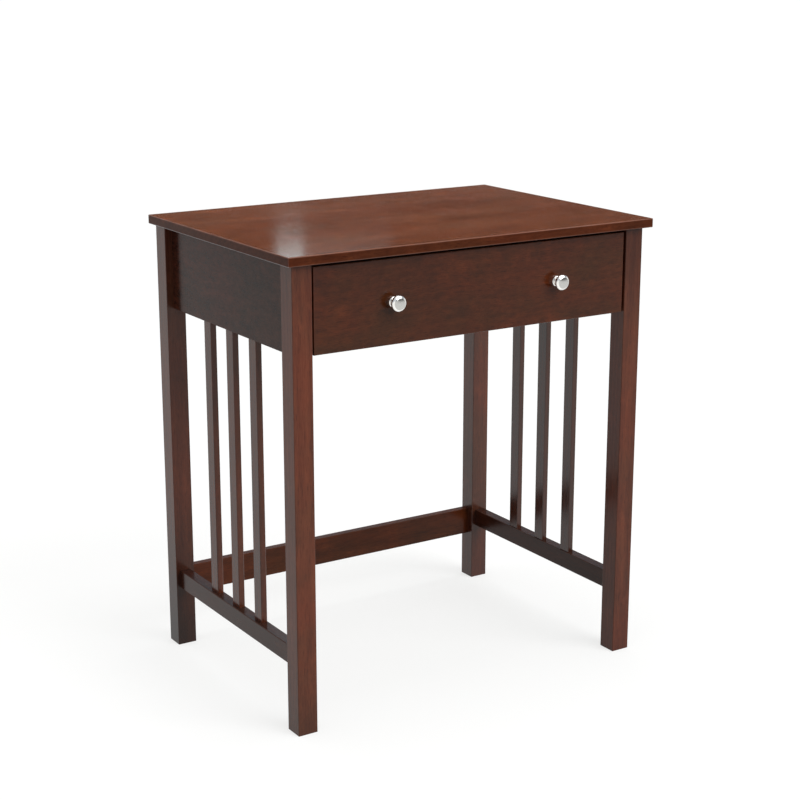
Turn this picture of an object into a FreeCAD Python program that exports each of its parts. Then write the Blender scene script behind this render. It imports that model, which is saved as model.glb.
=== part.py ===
import FreeCAD, Part
import os

from FreeCAD import Vector

# A small writing desk with slatted sides and one wide drawer, in millimetres.
# X runs left to right, Y front to back and Z up from the floor.

# Whole desk
desk_height = 762.0
top_width = 686.0
top_depth = 483.0
top_thick = 15.0
side_overhang = 12.0
front_overhang = 12.0
back_overhang = 3.0
top_arris = 1.5

# Legs
leg_side = 34.0
leg_arris = 1.0
foot_chamfer_share = 0.6  # of the leg's arris

# Aprons, stretcher and lower rails
apron_height = 142.0
apron_thick = 15.0
apron_inset = 6.0  # from the legs' inner faces out to the side aprons' inner faces
back_inset = 4.5  # from the back legs' rear faces in to the back boards
stretcher_depth = 40.0
stretcher_thick = 15.0
stretcher_gap = 2.0  # behind the drawer front
rail_top = 138.0
side_rail_height = 32.0
side_rail_thick = 19.0
back_rail_height = 50.0
back_rail_thick = 15.0
board_chamfer = 0.8
leg_tenon_share = 0.36  # of the leg's side
leg_tenon_shoulder = 3.0

# Slats, the same on both sides
slat_names = ("back", "middle", "front")
slat_width = 24.0
slat_thick = 10.5
slat_pitch = 78.0
slat_reveal = 1.0  # behind the apron's outer face
slat_tenon = 10.0
slat_shoulder = 2.0

# Drawer
front_height = 134.0
front_thick = 15.0
front_top_gap = 5.5
front_side_gap = 3.5
front_setback = 2.0  # behind the legs' front faces
front_arris = 1.2
box_side_height = 88.0
box_side_thick = 12.0
box_back_thick = 12.0
box_back_inset = 10.0  # from the drawer sides' rear ends
box_back_room = 31.0  # between the drawer sides and the back apron
bottom_thick = 3.0
groove_depth = 6.0
groove_rise = 10.0
housing_depth = 4.0

# Knobs
knob_spacing = 310.0
knob_length = 22.0
knob_head_diameter = 26.0
knob_neck_diameter = 10.0
knob_base_diameter = 18.0
knob_base_thick = 4.5
knob_base_bevel = 2.5
knob_head_thick = 7.5
knob_head_round = 3.0
knob_flare = 4.0  # behind the head, back to the neck
knob_thread = 9.0
knob_screw_radius = 2.0
knob_screw_head_radius = 4.0
knob_screw_head_thick = 2.0
knob_neck_share = 0.25
quarter_share = 0.2929  # how far in from its corner the middle of a quarter round lies

# Runners: a steel channel on the desk, a steel rail on the drawer, a roller on each
runner_space = 12.7  # between the legs' inner faces and the drawer sides
steel = 1.2
channel_rise = 7.0  # above the aprons' bottom edges
channel_gap = 1.5  # behind the drawer front
channel_lip = 3.0
web_gap = 2.4  # from the channel's web to the nearest moving piece
running_gap = 1.3
flange_room = 5.0
drawer_rail_height = 21.0
roller_diameter = 20.0
roller_inset = 14.0  # from the end of the rail that carries it
roller_step = 4.5  # front rollers above back rollers
roller_gap = 0.3
pin_radius = 2.5
pin_head_radius = 4.0
pin_head_thick = 0.6
pin_clearance = 0.05
spacer_margin = 4.0

# Brackets under the top
bracket_leg = 16.0
bracket_width = 16.0
bracket_thick = 1.5
bracket_shares = (0.22, 0.78)

# Fits
hole_clearance = 0.1
fit_clearance = 0.15
depth_spare = 1.0
overrun = 2.0

full_turn = 360
half_turn = 180
quarter_turn = 90
x_way = Vector(1, 0, 0)
y_way = Vector(0, 1, 0)
z_way = Vector(0, 0, 1)
sides = {"left": -1, "right": 1}

# Places that follow from the sizes; the origin is under the middle of the whole, knobs included
front_reach = max(knob_length - front_overhang - front_setback, 0)
top_front = (front_reach - top_depth) / 2
top_back = top_front + top_depth
under_top = desk_height - top_thick
leg_outer = top_width / 2 - side_overhang
leg_inner = leg_outer - leg_side
leg_tenon = leg_side * leg_tenon_share
leg_front = top_front + front_overhang
leg_back = top_back - back_overhang
bay_front = leg_front + leg_side
bay_back = leg_back - leg_side
bay_middle = (bay_front + bay_back) / 2
apron_bottom = under_top - apron_height
apron_inner = leg_inner + apron_inset
apron_outer = apron_inner + apron_thick
side_rail_bottom = rail_top - side_rail_height
side_rail_inner = leg_inner + (leg_side - side_rail_thick) / 2
side_rail_outer = side_rail_inner + side_rail_thick
back_face = leg_back - back_inset
back_apron_front = back_face - apron_thick
back_rail_front = back_face - back_rail_thick
back_rail_bottom = rail_top - back_rail_height
slat_outer = apron_outer - slat_reveal
slat_inner = slat_outer - slat_thick
front_face = leg_front + front_setback
front_back = front_face + front_thick
front_top = under_top - front_top_gap
front_bottom = front_top - front_height
front_half = leg_inner - front_side_gap
stretcher_front = front_back + stretcher_gap
stretcher_back = stretcher_front + stretcher_depth
stretcher_bottom = under_top - stretcher_thick

# Runner section: distances are from the leg's inner face towards the drawer
channel_bottom = apron_bottom + channel_rise
channel_depth = runner_space - steel - running_gap
roller_radius = roller_diameter / 2
roller_near = steel + web_gap
roller_far = channel_depth - steel - roller_gap
back_roller_height = channel_bottom + steel + roller_gap + roller_radius
front_roller_height = back_roller_height + roller_step
track_bottom = front_roller_height + roller_radius + roller_gap
track_top = track_bottom + steel
channel_top = track_top + flange_room + steel
channel_front = front_back + channel_gap
box_end = back_apron_front - box_back_room
channel_back = box_end + channel_gap + steel
drawer_rail_bottom = track_top - drawer_rail_height
front_roller_place = channel_front + roller_inset
back_roller_place = box_end - roller_inset

# Drawer box
box_outer = leg_inner - runner_space
box_inner = box_outer - box_side_thick
box_bottom = drawer_rail_bottom + steel
box_top = box_bottom + box_side_height
box_back_end = box_end - box_back_inset
panel_bottom = box_bottom + groove_rise
panel_top = panel_bottom + bottom_thick
knob_height = (front_bottom + front_top) / 2


def mix(low, high, share):
    return low + (high - low) * share


def sided(side, near, far):
    return (near, far) if side > 0 else (-far, -near)


def spot(side, x, y, z):
    return Vector(side * x, y, z)


# A plain block between three pairs of limits
def block(x, y, z):
    return Part.makeBox(x[1] - x[0], y[1] - y[0], z[1] - z[0], Vector(x[0], y[0], z[0]))


def edges_along(solid, ways):
    runs = [(edge, edge.Vertexes[1].Point - edge.Vertexes[0].Point) for edge in solid.Edges]
    return [edge for edge, run in runs if any(run.cross(way).Length < run.Length / 2 for way in ways)]


def rounded(solid, radius, ways):
    return solid.makeFillet(radius, edges_along(solid, ways))


def chamfered(solid, ways):
    return solid.makeChamfer(board_chamfer, edges_along(solid, ways))


def rod(radius, place, way, start, end):
    return Part.makeCylinder(radius, end - start, place + way * start, way)


# A solid of revolution from (radius, distance) points, with its axis at place along way.
# An entry with four numbers is an arc to its last two through its first two.
def turned(profile, place, way):
    edges = []
    last = Vector(profile[-1][0], 0, profile[-1][1])
    for entry in profile:
        end = Vector(entry[-2], 0, entry[-1])
        if len(entry) > 2:
            edges.append(Part.Arc(last, Vector(entry[0], 0, entry[1]), end).toShape())
        else:
            edges.append(Part.LineSegment(last, end).toShape())
        last = end
    solid = Part.Face(Part.Wire(edges)).revolve(Vector(), z_way, full_turn)
    solid.Placement = FreeCAD.Placement(place, FreeCAD.Rotation(z_way, way))
    return solid


# A strip of constant section: (x, z) points drawn at the front and carried back.
def strip(points, front, back):
    ring = [Vector(x, front, z) for x, z in points]
    face = Part.Face(Part.makePolygon(ring + ring[:1]))
    return face.extrude(y_way * (back - front))


def joined(first, second):
    return first.fuse(second).removeSplitter().Solids[0]


def pocketed(solid, tools):
    return solid.cut(tools).Solids[0]


# Tenons are made as one core through the whole board, which ends inside the leg at either end.
# Grown by spare on every side, the same core makes the legs' mortises.
def side_core(side, x, z, spare):
    inset = leg_tenon_shoulder - spare
    reach = leg_tenon + spare
    return block(sided(side, x[0] + inset, x[1] - inset), (bay_front - reach, bay_back + reach),
                 (z[0] + inset, z[1] - inset))


def cross_core(y, z, spare):
    inset = leg_tenon_shoulder - spare
    reach = leg_inner + leg_tenon + spare
    return block((-reach, reach), (y[0] + inset, y[1] - inset), (z[0] + inset, z[1] - inset))


# The side apron's tenon stops below the stretcher's.
def side_apron_core(side, spare=0):
    return side_core(side, (apron_inner, apron_outer),
                     (apron_bottom, stretcher_bottom - leg_tenon_shoulder), spare)


def side_rail_core(side, spare=0):
    return side_core(side, (side_rail_inner, side_rail_outer), (side_rail_bottom, rail_top), spare)


def back_apron_core(spare=0):
    return cross_core((back_apron_front, back_face), (apron_bottom, under_top), spare)


def back_rail_core(spare=0):
    return cross_core((back_rail_front, back_face), (back_rail_bottom, rail_top), spare)


# Only the part of the stretcher that meets the leg is tenoned.
def stretcher_core(spare=0):
    return cross_core((stretcher_front, bay_front), (stretcher_bottom, under_top), spare)


def slat_core(side, order, spare=0):
    inset = slat_shoulder - spare
    half = slat_width / 2 - inset
    centre = bay_middle + slat_pitch * ((len(slat_names) - 1) / 2 - order)
    return block(sided(side, slat_inner + inset, slat_outer - inset), (centre - half, centre + half),
                 (rail_top - slat_tenon - spare, apron_bottom + slat_tenon + spare))


def slat_mortises(side):
    return [slat_core(side, order, fit_clearance) for order in range(len(slat_names))]


def desk_top():
    half = top_width / 2
    return rounded(block((-half, half), (top_front, top_back), (under_top, desk_height)), top_arris,
                   (x_way, y_way, z_way))


def leg(side, y):
    blank = rounded(block(sided(side, leg_inner, leg_outer), y, (0, under_top)), leg_arris, (z_way,))
    foot = [edge for edge in blank.Edges if edge.BoundBox.ZMax < leg_arris / 2]
    return blank.makeChamfer(leg_arris * foot_chamfer_share, foot)


def side_mortises(side):
    return [side_apron_core(side, fit_clearance), side_rail_core(side, fit_clearance)]


def front_leg(side):
    return pocketed(leg(side, (leg_front, bay_front)), side_mortises(side) + [stretcher_core(fit_clearance)])


def back_leg(side):
    cross_mortises = [back_apron_core(fit_clearance), back_rail_core(fit_clearance)]
    return pocketed(leg(side, (bay_back, leg_back)), side_mortises(side) + cross_mortises)


def side_apron(side):
    blank = block(sided(side, apron_inner, apron_outer), (bay_front, bay_back), (apron_bottom, under_top))
    return pocketed(joined(chamfered(blank, (y_way,)), side_apron_core(side)), slat_mortises(side))


def side_rail(side):
    blank = block(sided(side, side_rail_inner, side_rail_outer), (bay_front, bay_back),
                  (side_rail_bottom, rail_top))
    return pocketed(joined(chamfered(blank, (y_way,)), side_rail_core(side)), slat_mortises(side))


# Slats stand between the rail and the apron, on tenons at both ends.
def slat(side, order):
    core = slat_core(side, order)
    y = (core.BoundBox.YMin - slat_shoulder, core.BoundBox.YMax + slat_shoulder)
    blank = block(sided(side, slat_inner, slat_outer), y, (rail_top, apron_bottom))
    return joined(chamfered(blank, (z_way,)), core)


# Boards that run across the desk between the legs
def cross_board(y, z, core):
    return joined(chamfered(block((-leg_inner, leg_inner), y, z), (x_way,)), core)


def runner_spacer(side):
    return block(sided(side, leg_inner, apron_inner), (bay_front, bay_back),
                 (channel_bottom - spacer_margin, channel_top + spacer_margin))


# The channel is open towards the drawer, with a turned-up lip below and a stop tab at the back.
def channel(side):
    floor = channel_bottom + steel
    roof = channel_top - steel
    lip = channel_depth - steel
    outline = [(0, channel_bottom), (channel_depth, channel_bottom), (channel_depth, floor + channel_lip),
               (lip, floor + channel_lip), (lip, floor), (steel, floor), (steel, roof),
               (channel_depth, roof), (channel_depth, channel_top), (0, channel_top)]
    body = strip([(side * (leg_inner - depth), z) for depth, z in outline], channel_front, channel_back)
    tab = block(sided(side, leg_inner - lip, leg_inner - steel), (channel_back - steel, channel_back),
                (floor, roof))
    return joined(body, tab)


# The drawer rail cups the drawer side's bottom edge and carries a track over the front roller.
def drawer_rail(side):
    web = runner_space - steel
    track = roller_near - roller_gap
    ledge = runner_space + box_side_thick
    outline = [(track, track_bottom), (web, track_bottom), (web, drawer_rail_bottom),
               (ledge, drawer_rail_bottom), (ledge, box_bottom), (runner_space, box_bottom),
               (runner_space, track_top), (track, track_top)]
    return strip([(side * (leg_inner - depth), z) for depth, z in outline], front_back, box_end)


def roller(side, y, z):
    bore = pin_radius + pin_clearance
    return turned([(bore, roller_near), (roller_radius, roller_near), (roller_radius, roller_far),
                   (bore, roller_far)], spot(side, leg_inner, y, z), x_way * -side)


# A pin stands on its rail, with a shoulder before the roller and a head after it.
def pin(place, way, shoulder, head):
    end = head + pin_head_thick
    return turned([(0, 0), (pin_head_radius, 0), (pin_head_radius, shoulder), (pin_radius, shoulder),
                   (pin_radius, head), (pin_head_radius, head), (pin_head_radius, end), (0, end)],
                  place, way)


def channel_pin(side):
    place = spot(side, leg_inner - steel, front_roller_place, front_roller_height)
    return pin(place, x_way * -side, roller_near - roller_gap - steel, roller_far + roller_gap - steel)


def drawer_pin(side):
    web = runner_space - steel
    place = spot(side, leg_inner - web, back_roller_place, back_roller_height)
    return pin(place, x_way * side, web - roller_far - roller_gap, web - roller_near + roller_gap)


# Knob screws come through the drawer front from inside the drawer.
def knob_screw(side):
    length = front_thick + knob_thread
    return turned([(0, -knob_screw_head_thick), (knob_screw_head_radius, -knob_screw_head_thick),
                   (knob_screw_head_radius, 0), (knob_screw_radius, 0), (knob_screw_radius, length),
                   (0, length)], spot(side, knob_spacing / 2, front_back, knob_height), -y_way)


def knob_screw_hole(side):
    return rod(knob_screw_radius + hole_clearance, spot(side, knob_spacing / 2, front_back, knob_height),
               -y_way, -overrun, front_thick + knob_thread + depth_spare)


# A knob turned about its screw: a bevelled base, a waisted neck and a broad head with a rounded rim.
def knob(side):
    base = knob_base_diameter / 2
    neck = knob_neck_diameter / 2
    head = knob_head_diameter / 2
    head_at = knob_length - knob_head_thick
    neck_at = mix(knob_base_thick, head_at, knob_neck_share)
    bend = knob_head_round * quarter_share
    solid = turned([(0, 0), (base, 0), (base, knob_base_thick - knob_base_bevel),
                    (base - knob_base_bevel, knob_base_thick), (neck, neck_at), (neck, head_at - knob_flare),
                    (head, head_at), (head, knob_length - knob_head_round),
                    (head - bend, knob_length - bend, head - knob_head_round, knob_length),
                    (0, knob_length)], spot(side, knob_spacing / 2, front_face, knob_height), -y_way)
    return pocketed(solid, [knob_screw_hole(side)])


# The drawer sides stand in housings in the front; grown by spare, a side's end makes its housing.
def side_end(side, spare=0):
    return block(sided(side, box_inner - spare, box_outer + spare),
                 (front_back - housing_depth + fit_clearance - spare, front_back + overrun),
                 (box_bottom - spare, box_top + spare))


def drawer_front():
    blank = block((-front_half, front_half), (front_face, front_back), (front_bottom, front_top))
    tools = [block((-box_inner, box_inner), (front_back - groove_depth, front_back + overrun),
                   (panel_bottom - fit_clearance, panel_top + fit_clearance))]
    for side in sides.values():
        tools += [side_end(side, fit_clearance), knob_screw_hole(side)]
    return pocketed(rounded(blank, front_arris, (x_way, z_way)), tools)


def drawer_side(side):
    blank = block(sided(side, box_inner, box_outer), (front_back, box_end), (box_bottom, box_top))
    groove = block(sided(side, box_inner - overrun, box_inner + groove_depth),
                   (front_back - groove_depth, box_end + overrun),
                   (panel_bottom - fit_clearance, panel_top + fit_clearance))
    housing = block(sided(side, box_inner - overrun, box_inner + housing_depth),
                    (box_back_end - box_back_thick - fit_clearance, box_back_end + fit_clearance),
                    (panel_top, box_top + overrun))
    return pocketed(joined(blank, side_end(side)), [groove, housing])


def drawer_back():
    half = box_inner + housing_depth - fit_clearance
    return block((-half, half), (box_back_end - box_back_thick, box_back_end), (panel_top, box_top))


# The bottom panel slides into the grooves from behind, under the drawer back.
def drawer_bottom():
    half = box_inner + groove_depth - fit_clearance
    panel = block((-half, half), (front_back, box_back_end), (panel_bottom, panel_top))
    tongue = block((-box_inner + fit_clearance, box_inner - fit_clearance),
                   (front_back - groove_depth + fit_clearance, front_back + overrun),
                   (panel_bottom, panel_top))
    return joined(panel, tongue)


# Steel angles under the top: drawn against a wall on the right, then turned to face the wall at place.
def bracket(place, turn):
    outline = [(0, 0), (-bracket_leg, 0), (-bracket_leg, -bracket_thick), (-bracket_thick, -bracket_thick),
               (-bracket_thick, -bracket_leg), (0, -bracket_leg)]
    plate = strip(outline, -bracket_width / 2, bracket_width / 2)
    plate.Placement = FreeCAD.Placement(place, FreeCAD.Rotation(z_way, turn))
    return plate


def brackets():
    plates = []
    for share in bracket_shares:
        y = mix(bay_front, bay_back, share)
        plates.append(bracket(Vector(apron_inner, y, under_top), 0))
        plates.append(bracket(Vector(-apron_inner, y, under_top), half_turn))
        x = mix(-leg_inner, leg_inner, share)
        plates.append(bracket(Vector(x, back_apron_front, under_top), quarter_turn))
    return plates


group = Part.makeCompound
parts = {
    "desk_top": desk_top(),
    "back_apron": cross_board((back_apron_front, back_face), (apron_bottom, under_top), back_apron_core()),
    "front_stretcher": cross_board((stretcher_front, stretcher_back), (stretcher_bottom, under_top),
                                   stretcher_core()),
    "back_lower_rail": cross_board((back_rail_front, back_face), (back_rail_bottom, rail_top),
                                   back_rail_core()),
    "top_brackets": group(brackets()),
    "channel_roller_pins": group([channel_pin(side) for side in sides.values()]),
    "drawer_front": drawer_front(),
    "drawer_back": drawer_back(),
    "drawer_bottom": drawer_bottom(),
    "drawer_roller_pins": group([drawer_pin(side) for side in sides.values()]),
    "knobs": group([knob(side) for side in sides.values()]),
    "knob_screws": group([knob_screw(side) for side in sides.values()]),
}
for name, side in sides.items():
    parts["front_" + name + "_leg"] = front_leg(side)
    parts["back_" + name + "_leg"] = back_leg(side)
    parts[name + "_side_apron"] = side_apron(side)
    parts[name + "_lower_rail"] = side_rail(side)
    for order, slat_name in enumerate(slat_names):
        parts[name + "_" + slat_name + "_slat"] = slat(side, order)
    parts[name + "_runner_spacer"] = runner_spacer(side)
    parts[name + "_channel"] = channel(side)
    parts[name + "_channel_roller"] = roller(side, front_roller_place, front_roller_height)
    parts[name + "_drawer_rail"] = drawer_rail(side)
    parts[name + "_drawer_roller"] = roller(side, back_roller_place, back_roller_height)
    parts["drawer_" + name + "_side"] = drawer_side(side)

os.makedirs("parts", exist_ok=True)
for name, shape in parts.items():
    shape.exportStep("parts/" + name + ".step")
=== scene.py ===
import bmesh
import bpy
import math
import numpy as np
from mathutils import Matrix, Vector


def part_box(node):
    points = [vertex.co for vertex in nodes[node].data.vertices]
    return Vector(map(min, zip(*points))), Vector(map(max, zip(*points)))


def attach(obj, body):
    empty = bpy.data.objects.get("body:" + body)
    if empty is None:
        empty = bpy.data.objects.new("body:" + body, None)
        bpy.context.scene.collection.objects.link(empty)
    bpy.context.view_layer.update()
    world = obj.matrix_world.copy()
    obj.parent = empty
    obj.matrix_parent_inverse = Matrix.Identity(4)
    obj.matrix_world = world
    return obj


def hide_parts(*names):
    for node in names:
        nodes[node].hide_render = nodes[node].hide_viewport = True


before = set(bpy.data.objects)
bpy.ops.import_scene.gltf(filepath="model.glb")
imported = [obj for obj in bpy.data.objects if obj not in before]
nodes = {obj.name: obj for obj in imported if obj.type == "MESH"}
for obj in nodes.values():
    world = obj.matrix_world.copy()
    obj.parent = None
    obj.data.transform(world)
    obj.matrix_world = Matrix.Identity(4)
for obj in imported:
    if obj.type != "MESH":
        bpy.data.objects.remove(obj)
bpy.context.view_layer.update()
scene = bpy.context.scene
sides = (("left", -1), ("right", 1))
print("frame: %d nodes" % len(nodes))


def setSockets(made, values):
    for key, value in values.items():
        if isinstance(value, bpy.types.NodeSocket):
            made.id_data.links.new(value, made.inputs[key])
        else:
            made.inputs[key].default_value = value


def addNode(tree, kind, values=None, **settings):
    made = tree.nodes.new("ShaderNode" + kind)
    for key, value in settings.items():
        setattr(made, key, value)
    setSockets(made, values or {})
    return made


def emptyFinish(name):
    finish = bpy.data.materials.new(name)
    finish.use_nodes = True
    finish.node_tree.nodes.clear()
    return finish, finish.node_tree


def newFinish(name):
    finish, tree = emptyFinish(name)
    shader = addNode(tree, "BsdfPrincipled")
    addNode(tree, "OutputMaterial", {"Surface": shader.outputs["BSDF"]})
    return finish, tree, shader


def objectPlace(tree):
    return addNode(tree, "TexCoord").outputs["Object"]


def axesOf(tree, vector):
    return addNode(tree, "SeparateXYZ", {0: vector}).outputs


def mathNode(tree, operation, first, second=0.0, third=0.0):
    return addNode(tree, "Math", {0: first, 1: second, 2: third}, operation=operation).outputs[0]


def vectorMath(tree, operation, first, second=(0.0, 0.0, 0.0)):
    return addNode(tree, "VectorMath", {0: first, 1: second}, operation=operation).outputs[0]


def mapped(tree, value, fromLow, fromHigh, toLow=0.0, toHigh=1.0):
    values = {"Value": value, "From Min": fromLow, "From Max": fromHigh, "To Min": toLow, "To Max": toHigh}
    return addNode(tree, "MapRange", values).outputs["Result"]


def mixed(tree, share, first, second, blend="MIX"):
    values = {0: share, 6: first, 7: second}  # 6 and 7 are the colour sockets
    return addNode(tree, "Mix", values, data_type="RGBA", blend_type=blend).outputs[2]


def noise(tree, vector, detail=2.0, roughness=0.5, scale=1.0, output="Fac"):
    values = {"Vector": vector, "Scale": scale, "Detail": detail, "Roughness": roughness}
    return addNode(tree, "TexNoise", values).outputs[output]


def bumped(tree, height, strength, distance):
    values = {"Height": height, "Strength": strength, "Distance": distance}
    return addNode(tree, "Bump", values).outputs["Normal"]


def tone(red, green, blue):
    return (red, green, blue, 1.0)


def grey(level):
    return tone(level, level, level)


def shaded(colour, depth):
    return tone(*(depth * part for part in colour[:3]))


def dress(node, finish):
    nodes[node].data.materials.clear()
    nodes[node].data.materials.append(finish)


grainTurns = {"x": (0.0, 0.0, 0.0), "y": (0.0, 0.0, -math.pi / 2), "z": (0.0, math.pi / 2, 0.0)}
# layers of the figure: stretch along and across the grain, detail, roughness
grainLayers = {
    "blotch": ((6.0, 8.0, 8.0), 5.0, 0.62),
    "cloud": ((2.4, 8.0, 8.0), 3.0, 0.55),
    "mottle": ((18.0, 36.0, 36.0), 4.0, 0.65),
    "streak": ((1.1, 48.0, 48.0), 3.0, 0.6),
    "curl": ((65.0, 95.0, 95.0), 3.0, 0.6),
    "fleck": ((45.0, 170.0, 170.0), 3.0, 0.6),
    "fibre": ((16.0, 420.0, 420.0), 2.0, 0.6),
    "pore": ((60.0, 1500.0, 1500.0), 1.0, 0.5),
}
woodLook = {
    "boardShift": (0.37, 0.61, 0.23),  # each board is cut from another place in the wood
    "middle": 0.5,  # the mean of every layer
    "waverStretch": (4.0, 9.0, 9.0),
    "waverDetail": 1.0,
    "ringLean": (0.0, 0.05, 0.035),
    "ringStretch": (0.10, 1.0, 1.0),
    "ring": {"Scale": 34.0, "Distortion": 7.0, "Detail": 3.0, "Detail Scale": 0.6,
             "Detail Roughness": 0.55},
    "greyTint": tone(0.62, 1.0, 1.05),
    "greySpan": (0.40, 0.64),
    "thinSpot": 1.45,
    "thinSpan": (0.58, 0.74),
    "poreSpan": (0.56, 0.72),
    "poreShare": 0.55,
    "poreDepth": 0.35,
    "poreSink": -1.2,
    "footShadeSpan": (0.02, 0.30),  # heights on a leg between which the painted shade deepens
    "headShadeSpan": (0.55, 0.70),
    "arrisSpan": (0.0003, 0.0021),
    "wearAndSheenSpan": (0.3, 0.7),
    "leastWearAndSheen": 0.4,
    "rimSpan": (0.0004, 0.0012),  # depths behind the upright edge of the top, and below its face
    "rimBelow": (0.0008, 0.0022),
    "lowGlintBeside": (0.0008, 0.0022),  # depths behind the top's side edge, and heights above its underside, for the painted reflection on its lower side arris
    "lowGlintAbove": (0.0006, 0.0018),
    "polishSpan": (0.4, 1.0),
    "polishFibre": 0.4,
    "rippleCurl": 0.7,
    "rippleFibre": 0.35,
    "bumpDistance": 0.00025,
}


# colour = deep to warm stain by the tone share, greyed in blotches, darker in pores, worn and with a
# painted highlight at the arrises
def stainedWood(node, grain, order, stain, gloss, shade, shadedEnds):
    finish, tree, shader = newFinish("wood_" + node)
    place = objectPlace(tree)
    cut = tuple(order * step for step in woodLook["boardShift"])
    sawn = {"Vector": place, "Location": cut, "Rotation": grainTurns[grain]}
    straight = addNode(tree, "Mapping", sawn).outputs[0]
    # the grain wanders sideways by a slow noise
    slow = vectorMath(tree, "MULTIPLY", straight, woodLook["waverStretch"])
    drift = noise(tree, slow, woodLook["waverDetail"], output="Color")
    drift = vectorMath(tree, "SUBTRACT", drift, (woodLook["middle"],) * 3)
    drift = vectorMath(tree, "MULTIPLY", drift, (0.0, stain["waver"], stain["waver"]))
    along = vectorMath(tree, "ADD", straight, drift)
    figure = {key: noise(tree, vectorMath(tree, "MULTIPLY", along, stretch), detail, roughness)
              for key, (stretch, detail, roughness) in grainLayers.items()}
    # growth rings about a trunk axis that leans a little against the board
    lean = addNode(tree, "Mapping", {"Vector": along, "Rotation": woodLook["ringLean"]}).outputs[0]
    ringPlace = vectorMath(tree, "MULTIPLY", lean, woodLook["ringStretch"])
    figure["ring"] = addNode(tree, "TexWave", dict(woodLook["ring"], Vector=ringPlace), wave_type="RINGS",
                             rings_direction="X", wave_profile="SIN").outputs["Fac"]

    # tone share = the middle, moved by each layer of the figure in its own weight
    share = woodLook["middle"] * (1 - sum(stain["shares"].values()))
    for key, weight in stain["shares"].items():
        share = mathNode(tree, "MULTIPLY_ADD", figure[key], weight, share)
    # each piece's colour is scaled by its shade: partly the board's own tone, partly painted shade for the
    # light it gets
    deep, warm = shaded(stain["deep"], shade), shaded(stain["warm"], shade)
    colour = mixed(tree, share, deep, warm)
    thin = mapped(tree, figure["mottle"], *woodLook["thinSpan"], 0.0, stain["thin"])
    colour = mixed(tree, thin, colour, shaded(warm, woodLook["thinSpot"]))
    greyed = mapped(tree, figure["blotch"], *woodLook["greySpan"], 0.0, stain["grey"])
    colour = mixed(tree, greyed, colour, woodLook["greyTint"], "MULTIPLY")
    pores = mapped(tree, figure["pore"], *woodLook["poreSpan"], 0.0, woodLook["poreShare"])
    colour = mixed(tree, pores, colour, shaded(deep, woodLook["poreDepth"]))
    if shadedEnds:  # painted shade: a leg is darker towards its foot and head
        rise = axesOf(tree, place)[2]
        foot, head = shadedEnds
        depth = mathNode(tree, "MULTIPLY", mapped(tree, rise, *woodLook["footShadeSpan"], foot, 1.0),
                         mapped(tree, rise, *woodLook["headShadeSpan"], 1.0, head))
        colour = mixed(tree, 1.0, colour, depth, "MULTIPLY")

    # arris = the middle one of the three distances to the box's faces
    low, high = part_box(node)
    away = vectorMath(tree, "ABSOLUTE", vectorMath(tree, "SUBTRACT", place, tuple((low + high) / 2)))
    x, y, z = axesOf(tree, vectorMath(tree, "SUBTRACT", tuple((high - low) / 2), away))
    nearest, farther = mathNode(tree, "MINIMUM", x, y), mathNode(tree, "MAXIMUM", x, y)
    arris = mathNode(tree, "MAXIMUM", nearest, mathNode(tree, "MINIMUM", farther, z))
    # wear and painted highlight: the arrises take the edge colour, strongest along the top's upper arris
    leastWearAndSheen = woodLook["leastWearAndSheen"] * stain["arris"]
    wearAndSheenShare = mapped(tree, figure["streak"], *woodLook["wearAndSheenSpan"], leastWearAndSheen, stain["arris"])
    arrisWearAndSheen = mathNode(tree, "MULTIPLY", mapped(tree, arris, *woodLook["arrisSpan"], 1.0, 0.0), wearAndSheenShare)
    colour = mixed(tree, arrisWearAndSheen, colour, stain["edge"])
    if "rim" in stain:  # the top's upright edges are darker, and its lower side arris gets a pale painted reflection
        rim = mathNode(tree, "MULTIPLY", mapped(tree, nearest, *woodLook["rimSpan"], 1.0, 0.0),
                       mapped(tree, z, *woodLook["rimBelow"]))
        colour = mixed(tree, rim, colour, stain["rim"], "MULTIPLY")
        lowGlintFrom, lowGlintTo = (low.z + rise for rise in woodLook["lowGlintAbove"])
        lowGlint = mathNode(tree, "MULTIPLY", mapped(tree, x, *woodLook["lowGlintBeside"], 1.0, 0.0),
                        mapped(tree, axesOf(tree, place)[2], lowGlintFrom, lowGlintTo, 1.0, 0.0))
        colour = mixed(tree, lowGlint, colour, stain["lowGlint"])

    polish = mathNode(tree, "MULTIPLY_ADD", figure["fibre"], woodLook["polishFibre"], figure["cloud"])
    roughness = mapped(tree, polish, *woodLook["polishSpan"], *stain["rough"])
    fibres = mathNode(tree, "MULTIPLY", figure["fibre"], woodLook["rippleFibre"])
    ripple = mathNode(tree, "MULTIPLY_ADD", figure["curl"], woodLook["rippleCurl"], fibres)
    height = mathNode(tree, "MULTIPLY_ADD", pores, woodLook["poreSink"], ripple)
    setSockets(shader, {"Base Color": colour, "Roughness": roughness, "Specular IOR Level": gloss,
                        "Normal": bumped(tree, height, stain["relief"], woodLook["bumpDistance"])})
    return finish


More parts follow.
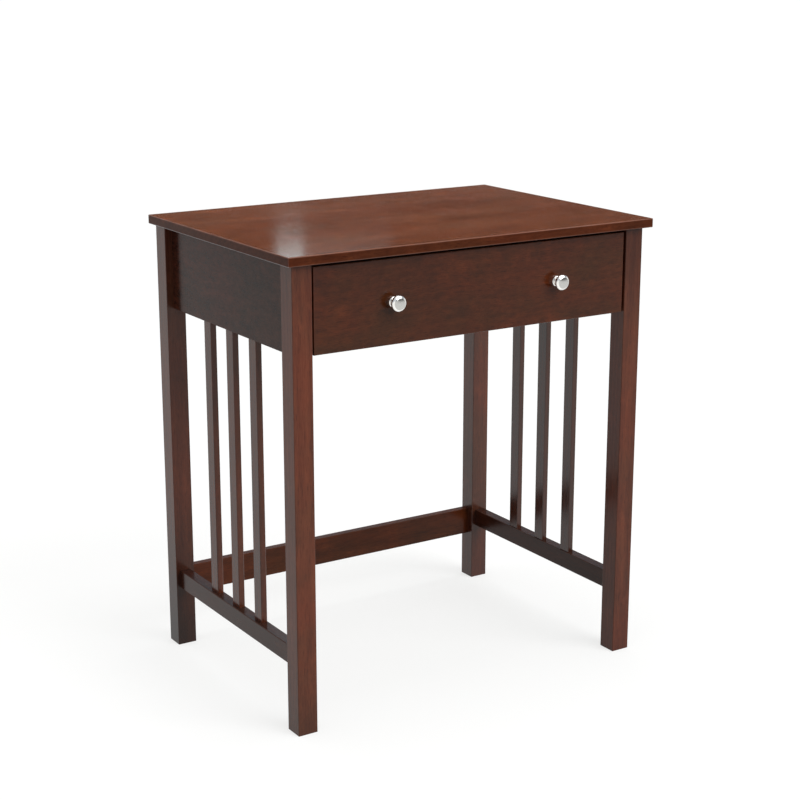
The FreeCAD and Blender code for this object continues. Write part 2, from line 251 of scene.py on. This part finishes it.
lacquer = {"thin": 0.3, "grey": 0.6, "arris": 0.4, "rough": (0.16, 0.26), "relief": 0.12, "waver": 0.012,
           "edge": tone(0.12, 0.05, 0.03)}
stains = {
    # painted light on the top: its edge colour is also a highlight on the upper arris, and the pale colour
    # a reflection on its lower side arris
    "top": dict(lacquer, deep=tone(0.092, 0.021, 0.006), warm=tone(0.205, 0.053, 0.017),
                edge=tone(0.26, 0.15, 0.12), rim=tone(0.62, 0.56, 0.60), lowGlint=tone(0.42, 0.37, 0.37),
                arris=0.85, grey=0.35, rough=(0.08, 0.13), relief=0.05, waver=0.03, thin=0.4,
                shares={"cloud": 1.2, "mottle": 1.1, "streak": 0.3, "ring": 0.15, "curl": 0.6,
                        "fleck": 0.35, "fibre": 0.25}),
    "leg": dict(lacquer, deep=tone(0.086, 0.020, 0.010), warm=tone(0.186, 0.046, 0.020),
                edge=tone(0.06, 0.016, 0.006),
                shares={"cloud": 1.3, "mottle": 0.3, "streak": 0.9, "ring": 0.2, "fleck": 0.5,
                        "fibre": 0.8}),
    "front": dict(lacquer, deep=tone(0.047, 0.011, 0.004), warm=tone(0.115, 0.024, 0.007),
                  edge=tone(0.15, 0.055, 0.03), grey=0.8, waver=0.04, thin=0.4,
                  shares={"cloud": 1.1, "mottle": 0.6, "streak": 0.25, "ring": 0.1, "curl": 0.9,
                          "fleck": 0.7, "fibre": 0.3}),
    "apron": dict(lacquer, deep=tone(0.034, 0.009, 0.005), warm=tone(0.112, 0.026, 0.013),
                  edge=tone(0.15, 0.06, 0.035), grey=0.8, waver=0.04, relief=0.3,
                  shares={"cloud": 1.0, "mottle": 1.2, "ring": 0.2, "curl": 1.4, "fleck": 0.9,
                          "fibre": 0.3}),
    "slat": dict(lacquer, deep=tone(0.060, 0.013, 0.004), warm=tone(0.140, 0.030, 0.010),
                 edge=tone(0.05, 0.013, 0.006), grey=0.5,
                 shares={"cloud": 1.3, "mottle": 0.2, "streak": 0.8, "ring": 0.2, "fleck": 0.5,
                         "fibre": 0.8}),
    "rail": dict(lacquer, deep=tone(0.033, 0.009, 0.005), warm=tone(0.075, 0.019, 0.009),
                 shares={"cloud": 1.3, "mottle": 0.5, "streak": 0.6, "ring": 0.2, "fleck": 0.5,
                         "fibre": 0.6}),
    "back": dict(lacquer, deep=tone(0.043, 0.010, 0.003), warm=tone(0.120, 0.026, 0.007),
                 shares={"cloud": 1.3, "mottle": 0.6, "streak": 0.5, "ring": 0.2, "fleck": 0.5,
                         "fibre": 0.5}),
    "inner": dict(lacquer, deep=tone(0.10, 0.045, 0.022), warm=tone(0.19, 0.095, 0.05),
                  edge=tone(0.23, 0.13, 0.08), grey=0.3, arris=0.3, rough=(0.5, 0.65),
                  shares={"cloud": 1.3, "mottle": 0.4, "streak": 0.8, "ring": 0.3, "fleck": 0.6,
                          "fibre": 0.9}),
}
# node, grain direction, stain, gloss, shade (partly painted shade), painted shade at foot and head
woodPlan = [
    ("desk_top", "x", "top", 0.05, 1.0, None),
    ("drawer_front", "x", "front", 0.2, 1.0, None),
    ("back_apron", "x", "back", 0.25, 1.0, None),
    ("front_stretcher", "x", "rail", 0.25, 1.0, None),
    ("back_lower_rail", "x", "back", 0.16, 1.05, None),
    ("front_left_leg", "z", "leg", 0.225, 1.05, (0.82, 0.92)),
    ("front_right_leg", "z", "leg", 0.225, 1.05, (0.86, 0.55)),
    ("back_left_leg", "z", "leg", 0.29, 0.95, (0.25, 1.0)),
    ("back_right_leg", "z", "leg", 0.40, 0.85, (0.75, 1.0)),
    ("left_side_apron", "y", "apron", 0.10, 0.95, None),
    ("right_side_apron", "y", "apron", 0.10, 0.95, None),
    ("left_lower_rail", "y", "rail", 0.17, 0.9, None),
    ("right_lower_rail", "y", "rail", 0.16, 0.9, None),
]
# grain, stain, gloss, shade (painted shade on the right slats), foot and head
slatRows = {"left": ("z", "slat", 0.33, 1.0, None), "right": ("z", "slat", 0.48, 0.6, None)}
innerRow = ("inner", 0.3, 1.0, None)
woodPlan += [("%s_%s_slat" % (side, part),) + row for side, row in slatRows.items()
             for part in ("back", "middle", "front")]
woodPlan += [(node, "y") + innerRow for side, _ in sides
             for node in (side + "_runner_spacer", "drawer_%s_side" % side)]
woodPlan += [(node, "x") + innerRow for node in ("drawer_back", "drawer_bottom")]
for order, (node, grain, stain, gloss, shade, shadedEnds) in enumerate(woodPlan, 1):
    dress(node, stainedWood(node, grain, order, stains[stain], gloss, shade, shadedEnds))
print("wood: %d boards" % len(woodPlan))

nickelLook = {"bright": (tone(0.88, 0.865, 0.83), tone(0.96, 0.945, 0.92)), "polished": 0.12,
              "tarnish": (3.0, 0.6, 160.0),  # detail, roughness, scale
              "tarnishSpan": (0.35, 0.7),
              "satin": (tone(0.50, 0.495, 0.475), tone(0.60, 0.595, 0.57)), "brushed": 0.22,
              "ringScale": 9000.0, "ringSpan": (0.35, 0.65),
              "relief": (0.06, 0.00008)}  # strength, distance


# a satin face inside a polished rim: distance from the knob's axis tells them apart
def satinNickel(axisX, axisZ, faceRadius, faceDepth, blend):
    finish, tree, shader = newFinish("satin_nickel")
    place = objectPlace(tree)
    x, y, z = axesOf(tree, place)
    across = mathNode(tree, "SUBTRACT", mathNode(tree, "ABSOLUTE", x), axisX)
    upward = mathNode(tree, "SUBTRACT", z, axisZ)
    square = mathNode(tree, "MULTIPLY_ADD", across, across, mathNode(tree, "MULTIPLY", upward, upward))
    radius = mathNode(tree, "SQRT", square)
    within = mapped(tree, radius, faceRadius - blend, faceRadius + blend, 1.0, 0.0)
    inside = mathNode(tree, "MULTIPLY", within, mapped(tree, y, faceDepth, faceDepth + blend, 1.0, 0.0))
    lathe = mathNode(tree, "MULTIPLY", radius, nickelLook["ringScale"])
    rings = noise(tree, addNode(tree, "CombineXYZ", {0: lathe}).outputs[0])
    tarnish = noise(tree, place, *nickelLook["tarnish"])
    bright = mixed(tree, mapped(tree, tarnish, *nickelLook["tarnishSpan"]), *nickelLook["bright"])
    satin = mixed(tree, mapped(tree, rings, *nickelLook["ringSpan"]), *nickelLook["satin"])
    roughness = mapped(tree, inside, 0.0, 1.0, nickelLook["polished"], nickelLook["brushed"])
    setSockets(shader, {"Base Color": mixed(tree, inside, bright, satin), "Metallic": 1.0,
                        "Roughness": roughness, "Normal": bumped(tree, rings, *nickelLook["relief"])})
    return finish


zincLook = {"cells": (tone(0.50, 0.52, 0.54), tone(0.63, 0.64, 0.64)), "cellScale": 260.0,
            "cellShare": 0.6, "smear": tone(0.40, 0.41, 0.42), "smearStretch": (400.0, 14.0, 400.0),
            "smearSpan": (0.45, 0.75), "smearShare": 0.5, "rough": (0.30, 0.42),
            "relief": (0.08, 0.0001)}  # strength, distance


# zinc spangle in small cells, smeared along the rolled strip
def zincSteel():
    finish, tree, shader = newFinish("zinc_steel")
    place = objectPlace(tree)
    spangle = addNode(tree, "TexVoronoi", {"Vector": place, "Scale": zincLook["cellScale"]})
    cell = addNode(tree, "SeparateColor", {0: spangle.outputs["Color"]}).outputs[0]
    smear = noise(tree, vectorMath(tree, "MULTIPLY", place, zincLook["smearStretch"]))
    colour = mixed(tree, mapped(tree, cell, 0.0, 1.0, 0.0, zincLook["cellShare"]), *zincLook["cells"])
    smeared = mapped(tree, smear, *zincLook["smearSpan"], 0.0, zincLook["smearShare"])
    colour = mixed(tree, smeared, colour, zincLook["smear"])
    setSockets(shader, {"Base Color": colour, "Metallic": 1.0,
                        "Roughness": mapped(tree, cell, 0.0, 1.0, *zincLook["rough"]),
                        "Normal": bumped(tree, smear, *zincLook["relief"])})
    return finish


nylonLook = {"clean": tone(0.80, 0.80, 0.77), "scuffed": tone(0.62, 0.61, 0.57),
             "mould": (3.0, 0.6, 700.0),  # detail, roughness, scale
             "scuff": (2.0, 0.6, 140.0),
             "scuffSpan": (0.4, 0.75), "dullSpan": (0.3, 0.7), "rough": (0.38, 0.55),
             "relief": (0.15, 0.0001)}  # strength, distance


# moulded nylon, duller and greyer where it is scuffed
def whiteNylon():
    finish, tree, shader = newFinish("white_nylon")
    place = objectPlace(tree)
    mould, scuff = noise(tree, place, *nylonLook["mould"]), noise(tree, place, *nylonLook["scuff"])
    scuffed = mapped(tree, scuff, *nylonLook["scuffSpan"])
    setSockets(shader, {"Base Color": mixed(tree, scuffed, nylonLook["clean"], nylonLook["scuffed"]),
                        "Roughness": mapped(tree, scuff, *nylonLook["dullSpan"], *nylonLook["rough"]),
                        "Normal": bumped(tree, mould, *nylonLook["relief"])})
    return finish


zinc, nylon = zincSteel(), whiteNylon()
for node in ("left_channel", "right_channel", "left_drawer_rail", "right_drawer_rail", "top_brackets",
             "channel_roller_pins", "drawer_roller_pins"):
    dress(node, zinc)

meshLook = {"weld": 1e-6, "sliver": 1e-7, "sharp": 35.0}


def finishedPiece(name, mesh, finish, sharp=meshLook["sharp"]):
    form = bmesh.new()
    form.from_mesh(mesh)
    bmesh.ops.remove_doubles(form, verts=form.verts, dist=meshLook["weld"])  # closes the poles
    bmesh.ops.dissolve_degenerate(form, edges=form.edges, dist=meshLook["sliver"])
    bmesh.ops.recalc_face_normals(form, faces=form.faces)
    form.to_mesh(mesh)
    form.free()
    mesh.shade_smooth()
    mesh.set_sharp_from_angle(angle=math.radians(sharp))
    mesh.materials.append(finish)
    piece = bpy.data.objects.new(name, mesh)
    scene.collection.objects.link(piece)
    return piece


# point = place + radius * (cos turn, sin turn) across the axis + height along it
# heights are one for each ring, or one for each ring and turn; way runs along one of the main axes
def turnedPiece(name, radii, heights, place, way, segments, finish, closed=False, sharp=meshLook["sharp"]):
    radii, heights, way = (np.asarray(values, float) for values in (radii, heights, way))
    if heights.ndim == 1:
        heights = np.repeat(heights[:, None], segments, 1)
    across = np.array((1.0, 0.0, 0.0) if way[2] else (0.0, 0.0, 1.0))
    turn = np.arange(segments) * 2 * math.pi / segments
    circle = np.cos(turn)[:, None] * across + np.sin(turn)[:, None] * np.cross(way, across)
    points = np.asarray(place) + radii[:, None, None] * circle + heights[:, :, None] * way
    rows = len(radii)
    row = np.arange(rows if closed else rows - 1)[:, None] * segments
    nextRow = (row + segments) % (rows * segments)
    spot = np.arange(segments)
    nextSpot = (spot + 1) % segments
    quads = np.stack([row + spot, row + nextSpot, nextRow + nextSpot, nextRow + spot], -1).reshape(-1, 4)
    mesh = bpy.data.meshes.new(name)
    mesh.from_pydata(points.reshape(-1, 3).tolist(), [], quads.tolist())
    return finishedPiece(name, mesh, finish, sharp)


# a rounded corner: points on the arc about a centre, from one angle in degrees to another
def arc(centre, radius, start, end, steps):
    turn = np.radians(np.linspace(start, end, steps))
    return np.stack([centre[0] + radius * np.cos(turn), centre[1] + radius * np.sin(turn)], -1)


# metres and degrees, counted from the drawer front outwards
knobLook = {"base": 0.009, "baseThick": 0.0045, "baseRound": 0.0022, "baseSteps": 9,
            "neck": 0.005, "neckFoot": 0.0012, "footPower": 6, "flarePower": 5, "neckSteps": 24,
            "head": 0.0128, "headAt": 0.0145, "headUnder": 0.0012, "underDrop": 0.0008, "underTurn": -80.0,
            "underSteps": 6, "rim": 0.0036, "rimTurn": 76.0, "rimStep": 0.0004, "rimSteps": 12,
            "crown": 0.0020, "crownSteps": 14, "length": 0.022, "blend": 0.0004, "segments": 96}


# radius and height up the knob: base with a rounded edge, waisted neck, flare, rounded rim, low crown
def knobProfile(k):
    face, rimIn = k["length"] - k["crown"], k["head"] - k["rim"]
    baseCentre = (k["base"] - k["baseRound"], k["baseThick"] - k["baseRound"])
    base = arc(baseCentre, k["baseRound"], 0, 90, k["baseSteps"])
    # neck radius = waist + a foot that fades with the rise + a flare that grows with it
    rise = np.linspace(0, 1, k["neckSteps"])
    foot = k["neckFoot"] * (1 - rise) ** k["footPower"]
    flare = (rimIn - k["neck"]) * rise ** k["flarePower"]
    neckLength = k["headAt"] - k["underDrop"] - k["baseThick"]
    neck = np.stack([k["neck"] + foot + flare, k["baseThick"] + neckLength * rise], -1)
    underCentre = (k["head"] - k["headUnder"], k["headAt"] + k["headUnder"] / 2)
    under = arc(underCentre, k["headUnder"], k["underTurn"], 0, k["underSteps"])
    rim = arc((rimIn, face - k["rim"]), k["rim"], 0, k["rimTurn"], k["rimSteps"])
    # crown height = its full height less a share that grows with the radius squared
    inner = np.linspace(rimIn - k["rimStep"], 0, k["crownSteps"])
    crown = np.stack([inner, face + k["crown"] * (1 - (inner / k["head"]) ** 2)], -1)
    return np.vstack([[(0, 0.0), (k["base"], 0.0)], base, neck, under, rim, crown])


knobLow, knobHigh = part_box("knobs")
frontLow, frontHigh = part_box("drawer_front")
knobZ = (knobLow.z + knobHigh.z) / 2
knobX = (knobHigh.x - knobLow.x - (knobHigh.z - knobLow.z)) / 2
faceRadius = knobLook["head"] - knobLook["rim"] + knobLook["blend"]
faceDepth = knobLow.y + knobLook["crown"] + knobLook["blend"]
nickel = satinNickel(knobX, knobZ, faceRadius, faceDepth, knobLook["blend"])
profile = knobProfile(knobLook)
for side, sign in sides:
    seat = (sign * knobX, frontLow.y, knobZ)
    knob = turnedPiece(side + "Knob", profile[:, 0], profile[:, 1], seat, (0, -1, 0), knobLook["segments"],
                       nickel)
    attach(knob, "drawer")
    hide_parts("knobs")
print("knobs: %d" % len(sides))

rollerLook = {"bore": 0.00255, "hub": 0.0046, "webOut": 0.0076, "slope": 0.0003, "recess": 0.0009,
              "corner": 0.0007, "cornerSteps": 6, "segments": 72}


# a closed loop round the roller's section: bore, hub, recessed web and rounded rim, on both sides
def rollerProfile(k, radius, half):
    corner, floorAt = k["corner"], half - k["recess"]
    web = [(k["bore"], half), (k["hub"], half), (k["hub"] + k["slope"], floorAt),
           (k["webOut"] - k["slope"], floorAt), (k["webOut"], half)]
    rim = arc((radius - corner, half - corner), corner, 90, 0, k["cornerSteps"])
    upper = np.vstack([web, rim])
    return np.vstack([upper, upper[::-1] * (1, -1)])


rollers = ("left_channel_roller", "right_channel_roller", "left_drawer_roller", "right_drawer_roller")
for node in rollers:
    low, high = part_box(node)
    section = rollerProfile(rollerLook, (high.z - low.z) / 2, (high.x - low.x) / 2)
    wheel = turnedPiece(node + "_wheel", section[:, 0], section[:, 1], (low + high) / 2, (1, 0, 0),
                        rollerLook["segments"], nylon, closed=True)
    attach(wheel, node)
    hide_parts(node)
print("rollers: %d" % len(rollers))

# fades: where the recess ends and how far before that it starts to, in slot widths or lengths
screwLook = {"radius": 0.0034, "dome": 0.0011, "edge": 0.0004, "round": 2.6, "slotLength": 0.0019,
             "slotWidth": 0.00042, "slotDepth": 0.0009, "sideFade": (1.6, 0.6), "endFade": (1.15, 0.3),
             "rings": 13, "segments": 32, "sharp": 50.0}
knobScrewLook = dict(screwLook, radius=0.004, dome=0.0014, edge=0.0006, slotLength=0.0023,
                     slotWidth=0.00055)


# height = low dome less a cross-shaped recess, over a polar grid; two rings at the seat close it below
def screwHead(name, place, way, body, k=screwLook):
    share = np.linspace(0, 1, k["rings"])
    radii = k["radius"] * share
    turn = np.arange(k["segments"]) * 2 * math.pi / k["segments"]
    x, y = abs(radii[:, None] * np.cos(turn)), abs(radii[:, None] * np.sin(turn))
    (sideEnd, sideRun), (tipEnd, tipRun) = k["sideFade"], k["endFade"]
    beside = np.clip((sideEnd * k["slotWidth"] - np.minimum(x, y)) / (sideRun * k["slotWidth"]), 0, 1)
    within = np.clip((tipEnd * k["slotLength"] - np.maximum(x, y)) / (tipRun * k["slotLength"]), 0, 1)
    heights = k["edge"] + k["dome"] * (1 - share[:, None] ** k["round"]) - k["slotDepth"] * beside * within
    seatRadii = (k["radius"], 0.0)
    heights = np.vstack([heights, np.zeros((len(seatRadii), k["segments"]))])
    radii = np.append(radii, seatRadii)
    head = turnedPiece(name, radii, heights, place, way, k["segments"], zinc, sharp=k["sharp"])
    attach(head, body)
    return head


for side, sign in sides:
    seat = (sign * knobX, frontHigh.y, knobZ)
    head = screwHead(side + "KnobScrew", seat, (0, 1, 0), "drawer", knobScrewLook)
    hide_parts("knob_screws")

runnerScrews = {"shares": (0.12, 0.5, 0.86), "railBack": 0.04, "web": 0.0012, "channelZ": 0.63,
                "railZ": 0.6285, "backZ": (0.65, 0.69)}
backLow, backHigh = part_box("drawer_back")
backY = (backLow.y + backHigh.y) / 2
screwPlan = []
for side, sign in sides:
    channelLow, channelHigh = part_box(side + "_channel")
    railLow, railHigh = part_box(side + "_drawer_rail")
    sideOut = max(abs(corner.x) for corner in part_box("drawer_%s_side" % side))
    channelOut = max(abs(channelLow.x), abs(channelHigh.x))
    webX, railX = sign * (channelOut - runnerScrews["web"]), sign * (sideOut + runnerScrews["web"])
    for spot, share in enumerate(runnerScrews["shares"]):
        y = channelLow.y + share * (channelHigh.y - channelLow.y)
        seat = (webX, y, runnerScrews["channelZ"])
        screwPlan.append(("%sChannelScrew%d" % (side, spot), seat, (-sign, 0, 0), "desk_frame"))
        y = railLow.y + (share - runnerScrews["railBack"]) * (railHigh.y - railLow.y)
        seat = (railX, y, runnerScrews["railZ"])
        screwPlan.append(("%sRailScrew%d" % (side, spot), seat, (sign, 0, 0), "drawer"))
    for spot, z in enumerate(runnerScrews["backZ"]):
        seat = (sign * sideOut, backY, z)
        screwPlan.append(("%sBackScrew%d" % (side, spot), seat, (sign, 0, 0), "drawer"))

bracketScrews = {"reach": 0.00875, "thick": 0.0015, "shares": (0.22, 0.78)}
apronIn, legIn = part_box("right_side_apron")[0].x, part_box("front_right_leg")[0].x
bayFront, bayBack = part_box("front_left_leg")[1].y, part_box("back_left_leg")[0].y
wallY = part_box("back_apron")[0].y
underTop, topFace = (corner.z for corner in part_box("desk_top"))
thick, reach = bracketScrews["thick"], bracketScrews["reach"]
upperZ, wallZ = underTop - thick, underTop - reach
for spot, share in enumerate(bracketScrews["shares"]):
    y = bayFront + share * (bayBack - bayFront)
    x = legIn * (2 * share - 1)
    spots = [("back", (x, wallY - reach, upperZ), (x, wallY - thick, wallZ), (0, -1, 0))]
    for side, sign in sides:
        upperPlace, wallPlace = (sign * (apronIn - reach), y, upperZ), (sign * (apronIn - thick), y, wallZ)
        spots.append((side, upperPlace, wallPlace, (-sign, 0, 0)))
    for wall, upperPlace, wallPlace, wallWay in spots:
        screwPlan.append(("%sBracketTopScrew%d" % (wall, spot), upperPlace, (0, 0, -1), "desk_frame"))
        screwPlan.append(("%sBracketWallScrew%d" % (wall, spot), wallPlace, wallWay, "desk_frame"))

boardScrews = {"stretcher": (-0.19, 0.0, 0.19), "bottom": (-0.228, 0.0, 0.228)}
stretcherLow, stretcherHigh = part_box("front_stretcher")
stretcherY, bottomZ = (stretcherLow.y + stretcherHigh.y) / 2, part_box("drawer_bottom")[0].z
screwPlan += [("stretcherScrew%d" % spot, (x, stretcherY, stretcherLow.z), (0, 0, -1), "desk_frame")
              for spot, x in enumerate(boardScrews["stretcher"])]
screwPlan += [("bottomScrew%d" % spot, (x, backY, bottomZ), (0, 0, -1), "drawer")
              for spot, x in enumerate(boardScrews["bottom"])]
for name, place, way, body in screwPlan:
    screwHead(name, place, way, body)
print("screws: %d, and %d behind the knobs" % (len(screwPlan), len(sides)))

floorLook = {"inner": (0.0, 1.0, 4.0), "flat": 8.0, "radius": 52.0, "rise": 15.0, "rings": 14,
             "segments": 96, "albedo": 0.28, "lift": 0.71, "tint": tone(1.0, 1.0, 0.985)}
reachOut = np.linspace(floorLook["flat"], floorLook["radius"], floorLook["rings"])
floorRadii = np.concatenate([floorLook["inner"], reachOut])
# flat out to a ring, then a sweep: height = rise * share squared
sweep = np.clip(floorRadii - floorLook["flat"], 0, None) / (floorLook["radius"] - floorLook["flat"])
floorHeights = floorLook["rise"] * sweep ** 2
floorFinish, floorTree = emptyFinish("pale_floor")
lightPath = addNode(floorTree, "LightPath").outputs
seen = mathNode(floorTree, "MAXIMUM", lightPath["Is Camera Ray"], lightPath["Is Glossy Ray"])
seen = mathNode(floorTree, "MAXIMUM", seen, lightPath["Is Transmission Ray"])
lift = mathNode(floorTree, "MULTIPLY", seen, floorLook["lift"])
glow = addNode(floorTree, "Emission", {"Color": floorLook["tint"], "Strength": lift})
matt = addNode(floorTree, "BsdfDiffuse", {"Color": grey(floorLook["albedo"])})
both = addNode(floorTree, "AddShader", {0: glow.outputs[0], 1: matt.outputs[0]})
addNode(floorTree, "OutputMaterial", {"Surface": both.outputs[0]})
floor = turnedPiece("paleFloor", floorRadii, floorHeights, (0, 0, 0), (0, 0, 1), floorLook["segments"],
                    floorFinish)

# dark cloths that only gloss sees: for the top at the back right, for the knobs' faces at the front right
flagLooks = {"back": {"turns": (28.0, 76.0), "heights": (5.5, 14.5), "from": topFace, "cloth": 0.05},
             "front": {"turns": (-72.0, -28.0), "heights": (-2.2, 20.0), "from": knobZ, "cloth": 0.03}}
flagSize = {"distance": 14.0, "columns": 24, "rough": 0.9}  # turns and heights above are in degrees
column = np.arange(flagSize["columns"] - 1)
above = column + flagSize["columns"]
flagQuads = np.stack([column, column + 1, above + 1, above], -1)
for end, look in flagLooks.items():
    # point = distance * (cos turn, sin turn), raised by distance times the tangent of the height
    turns = np.radians(np.linspace(*look["turns"], flagSize["columns"]))
    heights = look["from"] + flagSize["distance"] * np.tan(np.radians(look["heights"]))
    x, z = np.meshgrid(flagSize["distance"] * np.cos(turns), heights)
    y = np.tile(flagSize["distance"] * np.sin(turns), (len(heights), 1))
    cloth, _, clothShader = newFinish(end + "_cloth")
    setSockets(clothShader, {"Base Color": grey(look["cloth"]), "Roughness": flagSize["rough"]})
    mesh = bpy.data.meshes.new(end + "Flag")
    mesh.from_pydata(np.stack([x, y, z], -1).reshape(-1, 3).tolist(), [], flagQuads.tolist())
    flag = finishedPiece(end + "Flag", mesh, cloth)
    flag.visible_camera = flag.visible_diffuse = flag.visible_shadow = False

# brightness of the surroundings by the sine of the height above the horizon
studioTones = [(0.25, tone(0.30, 0.32, 0.34)), (0.34, tone(0.50, 0.55, 0.62)),
               (0.65, tone(0.54, 0.55, 0.57)), (0.95, grey(1.1))]
world = bpy.data.worlds.new("studio")
scene.world = world
world.use_nodes = True
worldTree = world.node_tree
worldTree.nodes.clear()
upward = axesOf(worldTree, addNode(worldTree, "TexCoord").outputs["Generated"])[2]
ramp = addNode(worldTree, "ValToRGB", {"Fac": upward})
stops = ramp.color_ramp.elements
for stop, (height, colour) in zip(stops, (studioTones[0], studioTones[-1])):
    stop.position, stop.color = height, colour
for height, colour in studioTones[1:-1]:
    stops.new(height).color = colour
sky = addNode(worldTree, "Background", {"Color": ramp.outputs["Color"]})
addNode(worldTree, "OutputWorld", {"Surface": sky.outputs[0]})


def addLamp(name, kind, energy, place, aim, **settings):
    lamp = bpy.data.lights.new(name, kind)
    lamp.energy = energy
    for key, value in settings.items():
        setattr(lamp, key, value)
    holder = bpy.data.objects.new(name, lamp)
    scene.collection.objects.link(holder)
    holder.location = place
    holder.rotation_mode = "QUATERNION"
    holder.rotation_quaternion = (Vector(aim) - Vector(place)).to_track_quat("-Z", "Y")


pane = {"kind": "AREA", "shape": "RECTANGLE", "size_y": 0.30, "color": (0.78, 0.97, 1.0)}
lampLooks = {
    "key": {"kind": "SUN", "energy": 2.1, "place": (1.0, -2.2, 2.0), "aim": (0.0, 0.0, 0.4),
            "angle": math.radians(45.0)},
    "top": {"kind": "AREA", "energy": 18.0, "place": (0.0, 0.0, 2.8), "aim": (0.0, 0.01, 0.0),
            "shape": "SQUARE", "size": 1.2},
    # a narrow strip with a dim neighbour makes the glare at the front left of the top
    "strip": dict(pane, energy=0.19, size=0.085, place=(1.09, 2.37, 1.43), aim=(-0.30, -0.2, 1.43)),
    "glow": dict(pane, energy=0.12, size=0.30, place=(1.25, 2.30, 1.43), aim=(-0.25, -0.2, 1.43)),
}
for part, look in lampLooks.items():
    addLamp(part + "Light", **look)

cameraLook = {"eye": (-1.52914, -2.407354, 1.206573), "azimuth": -32.414, "tilt": 14.9, "lens": 77.98,
              "film": 36.0, "clip": (0.05, 300.0)}
azimuth, tilt = math.radians(cameraLook["azimuth"]), math.radians(cameraLook["tilt"])
level = math.cos(tilt)
lookBack = Vector((math.sin(azimuth) * level, -math.cos(azimuth) * level, math.sin(tilt)))
photoCamera = bpy.data.cameras.new("photoCamera")
photoCamera.lens, photoCamera.sensor_width = cameraLook["lens"], cameraLook["film"]
photoCamera.clip_start, photoCamera.clip_end = cameraLook["clip"]
camera = bpy.data.objects.new("photoCamera", photoCamera)
scene.collection.objects.link(camera)
camera.location = cameraLook["eye"]
camera.rotation_mode = "QUATERNION"
camera.rotation_quaternion = (-lookBack).to_track_quat("-Z", "Y")
scene.camera = camera
scene.view_settings.view_transform = "Standard"
print("stage: floor, %d cloths, %d lamps and camera" % (len(flagLooks), len(lampLooks)))
